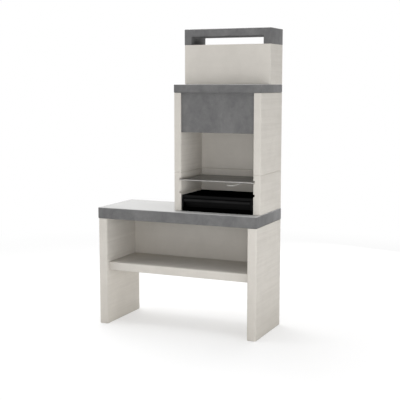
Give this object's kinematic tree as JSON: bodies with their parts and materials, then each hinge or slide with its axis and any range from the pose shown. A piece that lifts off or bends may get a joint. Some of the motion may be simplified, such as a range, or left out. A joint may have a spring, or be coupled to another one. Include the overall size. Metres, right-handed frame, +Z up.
{
  "type": "outdoor masonry barbecue",
  "caption": "Free-standing masonry barbecue: worktop on panel legs with an open shelf, hearth with hood and chimney, sliding wire grill and steel fire box with an ash drawer.",
  "frame": {"origin": "on the floor, in the middle of the worktop's footprint", "axes": "+Z up, +X to the cook's right, +Y to the back; the front faces -Y"},
  "size_m": [1.2, 0.488, 2.0845],
  "materials": {
    "pale_cement": "matt cast cement, fine raked texture",
    "grey_cement": "smooth cast cement, satin, clouded",
    "black_steel": "satin heat-proof black",
    "cast_iron": "raw cast iron",
    "chrome_wire": "bright plated wire"
  },
  "bodies": {
    "masonry": {"left_leg": "pale_cement", "right_leg": "pale_cement", "shelf": "pale_cement", "base_back_panel": "pale_cement", "worktop": "grey_cement", "hearth_lower_block": "pale_cement", "hearth_upper_block": "pale_cement", "hood_front_panel": "grey_cement", "mantel_slab": "grey_cement", "chimney_hood": "pale_cement", "chimney_cap": "grey_cement"},
    "fire_box": {"fire_box_tub": "black_steel", "fire_box_runner_left": "black_steel", "fire_box_runner_right": "black_steel", "grate_ledge_left": "black_steel", "grate_ledge_right": "black_steel"},
    "charcoal_grate": {"charcoal_grate": "cast_iron"},
    "ash_drawer": {"ash_drawer_tray": "black_steel", "ash_drawer_front": "black_steel"},
    "grill": {"grill_frame": "chrome_wire", "grill_cross_bar_front": "chrome_wire", "grill_cross_bar_rear": "chrome_wire", "grill_handle": "chrome_wire", "grill_rod_01": "chrome_wire", "grill_rod_02": "chrome_wire", "grill_rod_03": "chrome_wire", "grill_rod_04": "chrome_wire", "grill_rod_05": "chrome_wire", "grill_rod_06": "chrome_wire", "grill_rod_07": "chrome_wire", "grill_rod_08": "chrome_wire", "grill_rod_09": "chrome_wire", "grill_rod_10": "chrome_wire", "grill_rod_11": "chrome_wire", "grill_rod_12": "chrome_wire", "grill_rod_13": "chrome_wire", "grill_rod_14": "chrome_wire", "grill_rod_15": "chrome_wire", "grill_rod_16": "chrome_wire", "grill_rod_17": "chrome_wire", "grill_rod_18": "chrome_wire", "grill_rod_19": "chrome_wire", "grill_rod_20": "chrome_wire", "grill_rod_21": "chrome_wire", "grill_rod_22": "chrome_wire", "grill_rod_23": "chrome_wire", "grill_rod_24": "chrome_wire", "grill_rod_25": "chrome_wire", "grill_rod_26": "chrome_wire", "grill_rod_27": "chrome_wire", "grill_rod_28": "chrome_wire", "grill_rod_29": "chrome_wire"}
  },
  "joints": [
    {"name": "fire_box_slide", "type": "slide", "parent": "masonry", "child": "fire_box", "axis": [0, -1, 0], "range_m": [0, 0.2]},
    {"name": "charcoal_grate_lift", "type": "slide", "parent": "fire_box", "child": "charcoal_grate", "axis": [0, 0, 1], "range_m": [0, 0.06]},
    {"name": "ash_drawer_slide", "type": "slide", "parent": "fire_box", "child": "ash_drawer", "axis": [0, -1, 0], "range_m": [0, 0.26]},
    {"name": "grill_slide", "type": "slide", "parent": "masonry", "child": "grill", "axis": [0, -1, 0], "range_m": [0, 0.24]}
  ]
}
